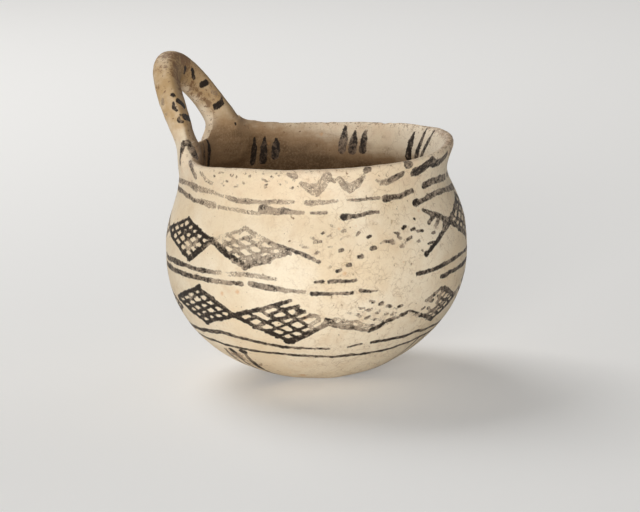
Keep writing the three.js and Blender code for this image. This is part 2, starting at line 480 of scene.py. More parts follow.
def formClay():
    clay = bmesh.new()
    spinCup(clay)
    shapeLip(clay)
    parts = [clay]
    for build in (sweepHandle, pressPats):
        part = bmesh.new()
        build(part)
        parts.append(part)
    whole = bmesh.new()
    for part in parts:
        mesh = bpy.data.meshes.new("wetPart")
        part.to_mesh(mesh)
        part.free()
        whole.from_mesh(mesh)
    mesh = bpy.data.meshes.new("wetClay")
    whole.to_mesh(mesh)
    whole.free()
    body = meshObject("wetClay", mesh)
    remesh = body.modifiers.new("remesh", "REMESH")
    remesh.mode, remesh.voxel_size, remesh.adaptivity = "VOXEL", hand["voxel"], 0
    skin = evaluated(body)
    bpy.data.objects.remove(body)
    return skin


def smoothRoots(skin):
    clay = bmesh.new()
    clay.from_mesh(skin)
    roots = [archPoint(0), archPoint(1)]
    for reach, strokes in hand["smoothing"]:
        near = [vert for vert in clay.verts if min((vert.co - root).length for root in roots) < reach]
        for _ in range(strokes):
            bmesh.ops.smooth_vert(clay, verts=near, factor=0.5,
                                  use_axis_x=True, use_axis_y=True, use_axis_z=True)
    clay.to_mesh(skin)
    clay.free()


def refine(skin):
    body = meshObject("refinedClay", skin)
    body.modifiers.new("fine", "SUBSURF").levels = 1
    body.modifiers["fine"].render_levels = 1
    fine = evaluated(body)
    bpy.data.objects.remove(body)
    return fine


def placesOf(mesh):
    places = np.empty(len(mesh.vertices) * 3)
    mesh.vertices.foreach_get("co", places)
    return places.reshape(-1, 3)


def normalsOf(mesh):
    normals = np.empty(len(mesh.vertices) * 3)
    mesh.vertices.foreach_get("normal", normals)
    return normals.reshape(-1, 3)


def ramp(values, start, end):
    return np.clip((values - start) / (end - start), 0, 1)


def unevenByHand(mesh):
    places, normals = placesOf(mesh), normalsOf(mesh)
    push = np.zeros(len(places))
    azimuth = np.arctan2(places[:, 1], places[:, 0])
    tree = kdtree.KDTree(len(places))
    for index, place in enumerate(places):
        tree.insert(place, index)
        spot = Vector(place)
        push[index] = sum(depth * noise.noise(spot / wave) for wave, depth in hand["waves"])
        band = Vector((math.cos(azimuth[index]) * 2, math.sin(azimuth[index]) * 2, spot.z / 4))
        push[index] += hand["scrape"] * noise.noise(band)
    tree.balance()

    def press(middle, reach, depth):
        for _, index, away in tree.find_range(middle, reach * hand["pitEdge"]):
            push[index] -= depth * math.exp(-((away / reach) ** 2) * 2)

    chance = random.Random(hand["seed"])
    for _ in range(hand["pits"]):
        middle = places[chance.randrange(len(places))]
        press(middle, chance.uniform(*hand["pitReach"]), chance.uniform(*hand["pitDepth"]))
    for direction, reach, depth in hand["chips"]:
        turn = math.radians(direction)
        away = cup["lipRadius"] - cup["lipThickness"] / 4 + swayAt(turn)
        height = cup["lipHeight"] + liftAt(turn % (2 * math.pi))
        press((away * math.cos(turn), away * math.sin(turn), height), reach, depth)
    places += normals * push[:, None]

    bulge = np.zeros(len(places))
    for middle, breadth, level, reach, depth in hand["wallMarks"]:
        away = np.degrees(turned(azimuth - math.radians(middle)))
        bulge += depth * np.exp(-((away / breadth) ** 2) - ((places[:, 2] - level) / reach) ** 2)
    places[:, :2] *= 1 + (bulge / np.maximum(np.hypot(places[:, 0], places[:, 1]), 1))[:, None]

    share = ramp(places[:, 2], cup["neckHeight"], cup["lipHeight"]) ** 2
    share = np.where(places[:, 2] > cup["lipHeight"] + hand["lipReach"], 0, share)
    lift = [sum(part * noise.noise(Vector((math.cos(turn) * turns, math.sin(turn) * turns, layer)))
                for turns, layer, part in hand["lipWaves"]) for turn in azimuth]
    lift = hand["lipWave"] * np.array(lift)
    for middle, breadth, height in hand["lipMarks"]:
        away = np.degrees(turned(azimuth - math.radians(middle)))
        lift += height * np.exp(-((away / breadth) ** 2))
    places[:, 2] = np.maximum(places[:, 2] + lift * share, hand["leastHeight"])
    mesh.vertices.foreach_set("co", places.ravel())
    mesh.update()


skin = formClay()
smoothRoots(skin)
skin = refine(skin)
unevenByHand(skin)
print("clay formed:", len(skin.vertices), "points")


# The fired skin is cut where the strips of clay meet, so that each strip has its own piece

# heights of the seams in mm
bowlSeam, wallSeam, loopSeam = 34.0, 64.0, 84.8
# name: from and up to which seam, and the nodes that the piece replaces
strips = {
    "fired_base_bowl": (None, bowlSeam, ("base_bowl",)),
    "fired_shoulder_wall": (bowlSeam, wallSeam, ("shoulder_wall",)),
    "fired_neck_and_lip": (wallSeam, loopSeam, ("neck_and_lip", "near_root_lute_outer",
                                                "near_root_lute_inner", "far_root_lute_outer",
                                                "far_root_lute_inner")),
    "fired_handle_loop": (loopSeam, None, ("handle_loop",)),
}


def cutStrip(name, low, high):
    clay = bmesh.new()
    clay.from_mesh(skin)
    clay.normal_update()
    fair = clay.verts.layers.float_vector.new("fairNormal")
    for vert in clay.verts:
        vert[fair] = vert.normal
    for height, keepAbove in ((low, True), (high, False)):
        if height is not None:
            bmesh.ops.bisect_plane(clay, geom=clay.verts[:] + clay.edges[:] + clay.faces[:], dist=1e-6,
                                   plane_co=(0, 0, height), plane_no=(0, 0, 1),
                                   clear_inner=keepAbove, clear_outer=not keepAbove)
            rim = [edge for edge in clay.edges if edge.is_boundary]
            outwards = (0, 0, -1 if keepAbove else 1)
            bmesh.ops.triangle_fill(clay, use_beauty=True, edges=rim, normal=outwards)
    cuts = [height for height in (low, high) if height is not None]
    clay.normal_update()
    clay.faces.ensure_lookup_table()
    shading = []
    for face in clay.faces:
        face.smooth = True
        flat = any(all(abs(vert.co.z - height) < 1e-4 for vert in face.verts) for height in cuts)
        shading += [face.normal.copy() if flat else vert[fair].normalized() for vert in face.verts]
    bmesh.ops.scale(clay, vec=(mm, mm, mm), verts=clay.verts)
    mesh = bpy.data.meshes.new(name)
    clay.to_mesh(mesh)
    clay.free()
    mesh.normals_split_custom_set([tuple(normal) for normal in shading])
    return meshObject(name, mesh)


# Painting: strokes are (azimuth in degrees, height in mm); azimuth 0 is opposite the handle

brushHand = {
    "seed": 11,
    "step": 3.2,  # mm of line from one wavering to the next
    "turnShare": 0.6,  # wavering along the wall against up and down
    "breadth": (0.82, 1.16),
    "loadChange": 0.06,
    "runningOut": 0.08,
    # lozenges: how far crossings slip, inside and on the outline, in mm, and degrees in a mm
    "slips": (0.42, 0.15),
    "perMm": 1.1,
    "overshoot": 0.25,
    "lineBreadth": (0.85, 1.12),
    # worn lozenges: load lost, the wear that lines outlast, and the dabs that are left of them
    "wornLoad": 0.62,
    "outlasts": 0.15,
    "dabFrom": 0.12,
    "dabOdds": (1.05, 0.5),
    "dabLength": (0.4, 1.7),
    "dabWidth": (0.8, 1.4),
    "dabSlant": 0.5,
    "dabLoad": 0.15,
    # how much the hand shakes, in mm: long lines, the lines of lozenges, and dabs
    "wobble": 0.14,
    "latticeWobble": 0.07,
    "dabWobble": 0.06,
}

# Lines that go round the side that isn't seen: degrees of one brushful, then mm, width and load
carried = {
    "reach": (24, 52),
    "points": 5,
    "sway": 0.4,
    "startWidth": (1.0, 1.3),
    "endWidth": (0.6, 0.9),
    "load": (0.6, 0.95),
    "gap": (-1.5, 3),
}

brush = random.Random(brushHand["seed"])
outsideStrokes = []
insideStrokes = []
underStrokes = []


def stroke(points, width, load=0.9, onto=outsideStrokes, wobble=brushHand["wobble"]):
    start, end = width if isinstance(width, tuple) else (width, width)
    full, empty = load if isinstance(load, tuple) else (load, load - brushHand["runningOut"])
    change = brushHand["loadChange"]
    spots = [np.array(point, float) for point in points]
    stretch = np.array((cup["bellyRadius"] * math.pi / 180, 1))
    line = [spots[0]]
    for near, far in zip(spots, spots[1:]):
        count = max(1, round(np.linalg.norm((far - near) * stretch) / brushHand["step"]))
        line += [near + (far - near) * (step + 1) / count for step in range(count)]
    shares = np.linspace(0, 1, len(line))
    path = []
    for share, spot in zip(shares, line):
        off = np.array((brush.gauss(0, wobble) * brushHand["turnShare"], brush.gauss(0, wobble)))
        wide = (start + (end - start) * share) * brush.uniform(*brushHand["breadth"])
        path.append((*(spot + off), wide, full + (empty - full) * share + brush.uniform(-change, change)))
    if len(path) == 1:
        path *= 2
    onto.append(path)


def lozenge(corners, cells, load=0.95, worn=(0, 0, 0, 0), outline=1.5, hatch=1.15, gone=()):
    # corners and wear run left, top, right, bottom; cells count down and up from the left corner;
    # gone lists the steps missing between top and right
    def blend(values, u, v):
        left, top, right, bottom = values
        return (1 - u) * (1 - v) * left + (1 - u) * v * top + u * v * right + u * (1 - v) * bottom

    corners = [np.array(corner, float) for corner in corners]
    down, up = cells
    grid = {}
    for u in range(down + 1):
        for v in range(up + 1):
            loose = brushHand["slips"][not (0 < u < down and 0 < v < up)]
            turn = brush.uniform(-1, 1) * loose * brushHand["perMm"]
            slip = np.array((turn, brush.uniform(-1, 1) * loose))
            fade = blend(worn, u / down, v / up)
            grid[u, v] = (*(blend(corners, u / down, v / up) + slip), fade)
    rows = [[grid[u, v] for u in range(down + 1)] for v in range(up + 1)]
    rows += [[grid[u, v] for v in range(up + 1)] for u in range(down + 1)]
    for place, row in enumerate(rows):
        edge = place in (0, up, up + 1, up + 1 + down)
        for step, (start, end) in enumerate(zip(row, row[1:])):
            start, end = np.array(start), np.array(end)
            over = (end - start) * brush.uniform(0, brushHand["overshoot"])
            start, end = start - over * (step == 0), end + over * (step == len(row) - 2)
            loads = tuple(load - brushHand["wornLoad"] * min(1, fade) for fade in (start[2], end[2]))
            missing = place == up and step in gone
            if brush.random() > max(start[2], end[2]) - brushHand["outlasts"] and not missing:
                wide = (outline if edge else hatch) * brush.uniform(*brushHand["lineBreadth"])
                stroke([start[:2], end[:2]], (wide, wide), loads, wobble=brushHand["latticeWobble"])
    most, less = brushHand["dabOdds"]
    slant = brushHand["dabSlant"]
    for x, y, fade in grid.values():
        if brushHand["dabFrom"] < fade and brush.random() < most - less * fade:
            nudge = np.array((brush.uniform(*brushHand["dabLength"]), brush.uniform(-slant, slant)))
            spot = np.array((x, y))
            stroke([spot - nudge / 2, spot + nudge / 2], brush.uniform(*brushHand["dabWidth"]),
                   load - brushHand["dabLoad"] * brush.random(), wobble=0.05)


def carriedLine(height, start, end, width=1.8):
    turn = start
    while turn < end:
        stop = min(end, turn + brush.uniform(*carried["reach"]))
        points = []
        for share in np.linspace(0, 1, carried["points"]):
            level = height + brush.uniform(-carried["sway"], carried["sway"])
            points.append((turn + (stop - turn) * share, level))
        wide = width * brush.uniform(*carried["startWidth"])
        narrow = width * brush.uniform(*carried["endWidth"])
        stroke(points, (wide, narrow), brush.uniform(*carried["load"]))
        turn = stop + brush.uniform(*carried["gap"])


# Double line round the neck
for points, width, load in (
    ([(-158, 71.2), (-140, 72.3), (-130, 72.2), (-128, 72.0)], 1.8, 0.75),
    ([(-131, 72.3), (-127, 71.9)], 2.6, 0.8),
    ([(-128, 72.0), (-114, 71.3), (-107, 70.3)], (2.0, 1.2), 0.62),
    ([(-106, 70.1), (-101, 69.5), (-94, 69.3), (-83, 69.6), (-77, 69.6)], (2.0, 1.4), 0.7),
    ([(-71.5, 69.4), (-63, 68.9), (-59, 68.9)], (2.2, 1.3), 0.66),
    ([(-55, 69.0), (-40.5, 68.7)], (0.9, 1.3), 0.8),
    ([(-38, 68.1), (-30, 68.3), (-22.9, 68.8)], (2.6, 1.6), 0.85),
    ([(-15, 69.7), (-4, 69.9), (8, 69.2)], 2.2, 0.82),
    ([(-156, 68.6), (-140, 68.7), (-128, 67.8), (-114.5, 67.2)], (1.7, 1.5), 0.8),
    ([(-122, 67.6), (-114, 67.1)], 2.2, 0.7),
    ([(-111, 67.0), (-100, 66.2), (-91, 65.7)], (1.4, 1.2), 0.6),
    ([(-90, 67.1), (-81.3, 66.4), (-73, 65.9)], (2.9, 1.5), 0.72),
    ([(-69.7, 65.8), (-63.7, 65.4)], 1.1, 0.8),
    ([(-57, 63.8), (-55, 63.8)], 2.0, 0.95),
    ([(-55, 63.7), (-42, 64.2)], (1.5, 0.9), 0.85),
    ([(-22.8, 64.7), (-21, 64.8)], 2.5, 0.95),
    ([(-20, 64.9), (-7.3, 65.9), (6, 65.2), (18, 64.4)], (1.9, 2.1), 0.85),
):
    stroke(points, width, load)
carriedLine(69.4, 12, 200)
carriedLine(65.4, 22, 202)

# Double line round the belly
for points, width, load in (
    ([(-150, 45.9), (-144, 45.8), (-128, 45.6), (-112.5, 45.2), (-107, 45.3)], (1.9, 1.6), 0.9),
    ([(-105, 45.3), (-103, 45.5), (-97, 45.7), (-84, 44.5)], (1.7, 1.5), 0.66),
    ([(-69.7, 43.1), (-66.5, 42.9)], 1.0, 0.9),
    ([(-64, 43.1), (-54.5, 42.6)], (1.6, 1.2), 0.9),
    ([(-28.5, 41.5), (-20, 41.7), (-12.9, 42.3), (4.3, 43.2), (16, 43.2)], (1.6, 1.3), 0.95),
    ([(-150, 42.8), (-126, 42.5), (-111, 42.3), (-97.7, 42.3)], (2.1, 1.6), 0.92),
    ([(-94, 42.5), (-84.5, 41.0), (-73.3, 39.8)], (2.3, 1.5), 0.78),
    ([(-71, 39.2), (-69, 39.0)], 1.8, 0.95),
    ([(-69, 39.0), (-56, 38.5)], 1.3, 0.9),
    ([(-52.9, 38.9), (-46.5, 38.5)], (1.3, 0.8), 0.85),
    ([(-14.5, 38.3), (-5.3, 38.7), (8, 39.0), (20, 39.3)], (1.6, 1.7), 0.95),
):
    stroke(points, width, load)
carriedLine(43.3, 18, 206)
carriedLine(39.6, 22, 208)

# Double line low on the bowl
for points, width, load in (
    ([(-146, 21.8), (-130, 21.8), (-126, 22.1), (-114.5, 23.2), (-99, 20.9), (-86, 18.9), (-65, 18.1)],
     (2.0, 1.2), 0.95),
    ([(-56.5, 18.1), (-50, 18.5)], (0.9, 1.2), 0.85),
    ([(-45, 18.8), (-30, 18.5), (-19, 19.2), (3.5, 18.6), (14, 18.4)], (1.7, 1.2), 0.95),
    ([(-142, 18.7), (-119, 17.9), (-108.5, 16.9), (-87, 15.8), (-64.5, 14.2)], (1.5, 1.4), 0.95),
    ([(-64, 14.1), (-56, 14.3), (-43.7, 14.1), (-26, 14.6), (3.5, 16.9), (12, 16.8)], (1.6, 1.0), 0.95),
):
    stroke(points, width, load)
carriedLine(19.4, 16, 212, 1.6)
carriedLine(15.6, 14, 216, 1.5)

# Upper chain of hatched lozenges
lozenge(((-147, 55.6), (-129.5, 61.2), (-112.3, 56.0), (-124.8, 48.6)), (5, 4), 1.04, (0, 0, 0, 0.1),
        outline=1.6, hatch=1.22)
stroke([(-124.5, 48.6), (-118, 52.0), (-112.3, 56.1)], 2.0, 1.0)
lozenge(((-112, 56.1), (-96.5, 60.7), (-78.8, 53.4), (-96, 48.2)), (4, 4), 0.75, (0, 0.25, 0.1, 0.05),
        outline=1.5, hatch=1.35)
stroke([(-111, 55.8), (-104, 52.0), (-96, 48.3)], 2.2, 1.0)
stroke([(-96, 48.3), (-88, 51.3), (-79, 53.2)], (2.4, 1.9), 0.78)
stroke([(-86.5, 56.6), (-80.9, 54.9), (-74, 52.9), (-69.5, 51.0)], (1.5, 1.5), (0.72, 0.85))
lozenge(((-4.5, 55.9), (14, 62.0), (31, 55.2), (13, 47.6)), (5, 4), 0.9, (0, 0.1, 0.1, 0.1),
        outline=1.9, hatch=1.3)
for points, width, load in (
    ([(-19.7, 61.9), (-13.3, 59.5), (-4.5, 55.9)], (1.6, 2.6), 0.86),
    ([(-4.5, 55.9), (-13.3, 52.5), (-22.9, 47.7)], (2.3, 1.5), (0.88, 1.0)),
    ([(-14.1, 59.3), (-18.9, 57.5)], (1.9, 1.4), 0.85),
    ([(-10.9, 58.3), (-15.3, 55.9)], 1.5, 0.8),
    ([(-8.5, 56.4), (-11.5, 53.2)], 1.6, 0.8),
    ([(-23.2, 47.6), (-22.4, 48.0)], 2.0, 1.05),
):
    stroke(points, width, load)

# Dabs left of two lozenges of the upper chain and of one edge of the lower one
dabs = (  # azimuth, height, length, width, load
    (-69.8, 57.7, 0.8, 1.1, 0.8), (-68.1, 56.4, 2.4, 1.5, 0.75), (-65.8, 59.1, 0.6, 1.0, 0.85),
    (-63.2, 58.1, 1.3, 0.9, 0.7), (-61.5, 61.2, 1.2, 1.1, 0.6), (-57.7, 59.4, 1.0, 1.3, 0.85),
    (-58.8, 56.9, 1.0, 0.7, 0.6), (-52.3, 58.1, 0.9, 1.1, 0.75), (-48.0, 56.7, 1.2, 1.3, 0.9),
    (-47.1, 53.0, 1.2, 1.9, 0.95), (-52.4, 50.5, 1.0, 1.8, 0.95), (-57.0, 48.2, 1.1, 1.5, 0.9),
    (-60.8, 46.6, 1.2, 1.5, 0.9), (-63.9, 47.8, 0.8, 0.9, 0.6), (-59.4, 53.2, 1.1, 1.4, 0.9),
    (-63.3, 54.5, 1.2, 0.9, 0.6), (-68.5, 52.8, 0.9, 1.3, 0.8), (-68.5, 50.1, 1.4, 1.6, 0.85),
    (-72.5, 54.9, 2.0, 1.0, 0.7), (-73.9, 55.7, 1.0, 0.8, 0.6), (-32.1, 57.9, 1.2, 1.6, 1.1),
    (-28.1, 56.9, 1.8, 1.3, 1.0), (-24.6, 55.7, 3.0, 1.2, 0.95), (-17.8, 54.0, 1.8, 1.2, 0.9),
    (-36.1, 56.5, 1.6, 1.2, 0.9), (-35.3, 55.1, 1.0, 1.2, 0.85), (-39.9, 54.3, 2.4, 1.5, 0.85),
    (-42.6, 54.5, 2.0, 0.8, 0.8), (-38.5, 53.5, 1.0, 1.1, 0.85), (-30.9, 54.1, 2.0, 1.2, 0.9),
    (-32.5, 53.5, 0.9, 1.0, 0.8), (-34.9, 52.1, 1.0, 1.7, 0.75), (-26.5, 52.5, 0.9, 1.1, 0.9),
    (-25.3, 49.3, 0.6, 1.0, 0.9), (-19.9, 51.0, 3.2, 1.0, 0.95), (-26.1, 60.1, 0.6, 0.9, 1.1),
    (-32.9, 64.5, 0.4, 0.6, 1.1), (-47.7, 34.3, 0.9, 1.4, 1.0), (-44.5, 33.7, 0.9, 1.3, 1.0),
    (-40.9, 32.1, 1.6, 1.4, 0.95), (-51.7, 32.7, 0.8, 1.1, 0.9), (-49.7, 31.7, 1.6, 1.3, 0.9),
    (-36.1, 31.1, 2.4, 1.4, 0.95), (-45.7, 30.3, 1.0, 1.1, 0.9),
)
for azimuth, height, length, width, load in dabs:
    half = math.degrees(length / 2 / cup["bellyRadius"])
    slant = brush.uniform(-0.25, 0.3)
    stroke([(azimuth - half, height - slant), (azimuth + half, height + slant)],
           (width * 0.72, width * 0.95), load - 0.06, wobble=brushHand["dabWobble"])

# Lower chain
lozenge(((-139, 32.4), (-120, 38.9), (-103.3, 30.6), (-121, 26.2)), (5, 4), 1.06, outline=1.7, hatch=1.25)
stroke([(-120, 38.8), (-111, 34.8), (-103.3, 30.6)], 2.0, 1.0)
lozenge(((-103.3, 30.6), (-79.8, 36.6), (-66.5, 27.4), (-81.8, 21.4)), (5, 4), 1.06, (0, 0.35, 0.3, 0),
        outline=1.8, hatch=1.3, gone=range(5))
stroke([(-83, 21.3), (-79, 22.3), (-74, 24.2), (-66.5, 27.4)], (2.4, 1.7), 1.0)
for azimuth, height, length in ((-75.5, 33.2, 3.2), (-70.1, 31.2, 2.2), (-64.7, 29.4, 2.6)):
    stroke([(azimuth - length / 2, height + 0.4), (azimuth + length / 2, height - 0.5)], 1.4, 0.9,
           wobble=brushHand["dabWobble"])
lozenge(((-66.5, 28.0), (-48, 34.6), (-30.5, 28.5), (-47.7, 23.6)), (5, 4), 0.8, (0.0, 1.2, 0.95, 0.2),
        outline=1.5, hatch=1.1, gone=range(5))
stroke([(-66, 28.3), (-58, 26.3), (-47.7, 23.6)], (2.0, 1.5), 0.78)
stroke([(-47.7, 23.6), (-40, 26.4), (-30.5, 28.5)], (2.2, 1.5), 0.92)
lozenge(((-30.5, 28.5), (-13.3, 34.0), (1.5, 28.5), (-12.5, 22.7)), (5, 4), 1.0, (1.0, 0.3, 0, 0.1),
        hatch=1.15)
stroke([(-30.5, 28.5), (-12.5, 22.7), (1.5, 28.5), (-11, 33.6)], 1.7, 0.95)

# The far side carries the same chains on
for first, last, count, middle, half in (
    (31, 211.5, 5, 55.2, 7.2),
    (1.5, 221, 6, 29.4, 6.2),
):
    pitch = (last - first) / count
    for index in range(count):
        left = first + pitch * index
        height = middle + brush.uniform(-0.6, 0.6)
        corners = ((left, middle), (left + pitch * brush.uniform(0.46, 0.54), height + half),
                   (left + pitch, middle), (left + pitch * brush.uniform(0.46, 0.54), height - half))
        fades = [brush.choice((0, 0, 0.1, 0.3, 0.8)) for _ in corners]
        lozenge(corners, (brush.choice((5, 5, 6)), 4), brush.uniform(0.85, 1.03), fades, 1.7,
                brush.uniform(1.1, 1.35))

# Zigzag under the lip, worn away on the left
for points, width, load in (
    ([(-73.6, 76.0), (-71, 74.6), (-68.4, 72.9)], (1.4, 3.4), 0.62),
    ([(-70.2, 74.2), (-66.2, 74.0)], (2.6, 3.2), 0.58),
    ([(-67.6, 72.6), (-65.4, 74.6), (-62.9, 78.0)], (3.0, 3.0), 0.66),
    ([(-78.6, 78.9), (-75.6, 78.3)], (1.5, 2.1), 0.74),
    ([(-57.9, 77.0), (-55.6, 74.2), (-53.2, 73.1)], (1.6, 3.4), 0.64),
    ([(-53.2, 73.2), (-50.2, 74.4), (-47.9, 76.6)], (3.4, 2.2), 0.63),
    ([(-46.9, 78.8), (-45.2, 79.0)], 1.9, 0.78),
    ([(-41.8, 74.7), (-40.4, 73.9)], 0.9, 0.7),
    ([(-39.6, 73.7), (-37, 73.6), (-33, 74.4), (-29.6, 75.6)], (2.0, 2.6), (0.68, 0.78)),
    ([(-27.5, 78.6), (-25.8, 78.4)], 2.8, 0.88),
    ([(-22.5, 75.5), (-20, 75.3), (-16, 76.6), (-12, 77.6), (-9, 76.2), (-4, 76.2), (2.4, 77.6)],
     (3.4, 2.8), 0.92),
):
    stroke(points, width, load)
for azimuth, height, size in ((-89.5, 77.4, 1.0), (-105, 78.0, 0.7), (-86, 78.2, 0.7), (-61.3, 76.9, 1.6)):
    stroke([(azimuth, height), (azimuth + 1.3, height - 0.5)], size, 0.8)
zigzagPitch = 14.6  # degrees of one turn of the zigzag on the side that isn't seen
for index in range(12):
    azimuth = 8 + zigzagPitch * index
    low, high = 73.2 + brush.uniform(-0.5, 0.5), 78.2 + brush.uniform(-0.6, 0.4)
    stroke([(azimuth, high), (azimuth + zigzagPitch / 2, low), (azimuth + zigzagPitch, high)], 2.7,
           brush.uniform(0.5, 0.85))

# Marks below the near root
stroke([(-138.6, 79.6), (-136.6, 79.1), (-134.3, 78.3), (-131.3, 77.1), (-128.1, 75.4)], (0.8, 2.3), 0.84)
stroke([(-124.5, 77.4), (-119.7, 74.8), (-115.5, 73.9)], 0.8, 0.7)
stroke([(-122.8, 77.2), (-118.7, 75.4), (-115.0, 74.7)], 0.6, 0.62)
# Small specks from there to the zigzag
for _ in range(30):
    azimuth, height = brush.uniform(-116, -76), brush.uniform(74.0, 79.4)
    stroke([(azimuth, height), (azimuth + brush.uniform(0.1, 0.9), height + brush.uniform(-0.3, 0.3))],
           brush.uniform(0.4, 0.8), brush.uniform(0.6, 0.88), wobble=0.04)

# Groups of three strokes inside the lip: top, bottom, width and load of each
seenGroups = (
    ((177.6, 80.6), (176.8, 71.5), 1.7, 0.8), ((172.3, 80.8), (172.8, 71.0), 2.3, 1.0),
    ((185, 80.6), (184, 71.5), 2.6, 0.9), ((140.6, 77.6), (141.8, 69.0), 2.7, 1.05),
    ((134.9, 77.3), (136.0, 69.4), 2.7, 1.03), ((128.9, 76.5), (129.8, 70.4), 2.8, 1.0),
    ((94.7, 79.2), (96.8, 71.2), 3.1, 0.9), ((89.9, 77.9), (91.5, 71.0), 3.0, 0.93),
    ((84.7, 77.9), (86.0, 71.4), 2.9, 0.9), ((56.7, 78.8), (58.5, 70.0), 3.0, 1.0),
    ((48.7, 80.6), (51.8, 70.2), 2.5, 0.95), ((40.7, 80.9), (47.0, 70.9), 2.0, 0.9),
)
hiddenMiddles, strokeGap = (6, -37, -80, -123), 5.4
hiddenGroups = [((middle + side * strokeGap, 79.5), (middle + side * strokeGap + 1.5, 70.1), 3.0, 0.9)
                for middle in hiddenMiddles for side in (-1, 0, 1)]
tipShare, middleShare, insideWobble = 0.35, 0.92, 0.1
for top, bottom, width, load in (*seenGroups, *hiddenGroups):
    middle = (top[0] * 0.6 + bottom[0] * 0.4 + brush.uniform(-0.2, 0.2), top[1] * 0.6 + bottom[1] * 0.4)
    stroke([top, middle], (tipShare * width, middleShare * width), load, insideStrokes, insideWobble)
    stroke([middle, bottom], (middleShare * width, width), load, insideStrokes, insideWobble)

# Two bands of three lines cross under the bowl
bandLength, bandStep, bandSway = 78, 6, 0.35
for start, direction, width, load in (  # (x, y) of the start in mm, direction in degrees, width, load
    ((-22.9, -37.4), 70, 2.0, 0.74), ((-18.4, -37.2), 73.5, 1.2, 0.86), ((-14.0, -39.0), 77.5, 1.9, 0.88),
    ((41.2, -8.2), 175, 1.7, 0.7), ((41.0, -3.6), 175, 1.7, 0.7), ((40.8, 1.0), 175, 1.7, 0.7),
):
    ray = math.radians(direction)
    path = []
    for reach in range(0, bandLength + 1, bandStep):
        off = brush.uniform(-bandSway, bandSway)
        x = start[0] + math.cos(ray) * reach - math.sin(ray) * off
        y = start[1] + math.sin(ray) * reach + math.cos(ray) * off
        path.append((x, y, width * brush.uniform(0.75, 1.25), load + brush.uniform(-0.15, 0.1)))
    underStrokes.append(path)

# Marks on the loop and its roots, and two blots low on the bowl: ends in mm, width, load
loopMarks = (
    ((-34.3, -16.3, 82.1), (-32.4, -19.8, 80.7), 1.4, 0.85),
    ((-32.4, -19.8, 80.7), (-31.7, -21.4, 78.9), 1.5, 0.9),
    ((-31.7, -21.4, 78.9), (-31.5, -22.1, 77.0), 1.6, 0.95),
    ((-18.6, -36.2, 15.4), (-18.0, -35.6, 14.8), 2.6, 1.05),
    ((-14.2, -38.2, 15.5), (-12.8, -38.6, 15.4), 2.4, 1.05),
    ((-46.4, 1.0, 106.9), (-46.6, 0.1, 105.4), 1.6, 0.95),
    ((-45.5, 4.9, 105.6), (-45.2, 5.5, 102.6), 1.7, 1.0),
    ((-43.8, 8.5, 99.7), (-42.7, 10.3, 100.2), 2.3, 1.1),
    ((-40.9, 12.0, 96.6), (-40.3, 13.2, 95.8), 1.9, 0.5),
    ((-40.4, 12.1, 91.4), (-39.2, 14.3, 92.4), 2.4, 1.0),
    ((-39.2, 14.5, 92.9), (-39.0, 15.0, 94.4), 1.4, 0.85),
    ((-35.0, 16.9, 84.5), (-35.1, 16.9, 84.6), 0.9, 1.1),
    ((-43.5, -18.0, 100.6), (-42.5, -18.3, 100.4), 1.4, 1.0),
    ((-42.6, -19.5, 97.8), (-42.6, -20.0, 96.5), 1.1, 1.0),
    ((-42.6, -20.0, 96.5), (-41.4, -20.2, 95.5), 1.2, 1.0),
    ((-41.3, -17.9, 98.5), (-40.2, -15.9, 96.5), 2.3, 1.05),
    ((-40.3, -21.3, 93.2), (-40.2, -21.2, 92.0), 1.2, 1.0),
    ((-40.2, -21.2, 92.0), (-39.2, -20.8, 91.5), 1.3, 1.0),
    ((-39.6, -20.7, 94.0), (-38.5, -19.6, 94.1), 1.5, 1.0),
    ((-38.9, -19.0, 93.0), (-38.4, -16.0, 92.1), 2.6, 1.0),
    ((-47.4, -18.9, 98.9), (-47.2, -18.9, 97.7), 1.9, 0.6),
    ((-45.9, -20.0, 94.9), (-45.7, -20.0, 93.9), 1.6, 0.5),
    ((-36.8, -23.6, 85.0), (-37.5, -24.2, 84.6), 1.7, 0.78),
    ((-37.5, -24.2, 84.6), (-37.7, -25.8, 82.3), 2.3, 0.86),
    ((-37.7, -25.8, 82.3), (-38.1, -26.7, 78.4), 1.8, 0.84),
    ((-36.2, -23.3, 84.9), (-34.8, -24.2, 83.2), 2.2, 0.86),
    ((-34.8, -24.2, 83.2), (-32.6, -25.7, 80.6), 2.8, 0.82),
)

# Where the paint has flaked: direction in degrees, height, reach, strength
flaked = (
    (-125.5, 52.6, 2.2, 0.5), (-121, 54.3, 1.6, 0.4), (-108, 57.6, 2.6, 0.35), (-90.5, 58.0, 1.8, 0.3),
    (-108, 45.3, 3.0, 0.3), (-104.5, 45.4, 2.0, 0.35), (-93, 27.5, 2.0, 0.35), (-70, 28.5, 3.0, 0.35),
    (-88, 33.0, 2.0, 0.3), (-127, 34.5, 1.5, 0.4),
)

laying = {
    # strokes are measured this far from their edge, in mm
    "reach": 3.0,
    # radius at which a stroke's reach is turned into degrees round the wall
    "leastRadius": 38,
    # the wall's strokes end this far above the lip, and the crossing bands end at this height
    "overLip": 3.9,
    "underHeight": 15.5,
    # heights, up to this far above the lip, at which the length along the wall is worked out
    "levels": 400,
    "levelsOver": 4,
}


def segmentShare(fromX, fromY, stepX, stepY):
    share = np.clip((fromX * stepX + fromY * stepY) / (stepX**2 + stepY**2 + 1e-9), 0, 1)
    return share, np.hypot(fromX - share * stepX, fromY - share * stepY)


def keepNearest(edge, load, chosen, away, full):
    closer = away < edge[chosen]
    edge[chosen[closer]] = away[closer]
    load[chosen[closer]] = np.broadcast_to(full, away.shape)[closer]


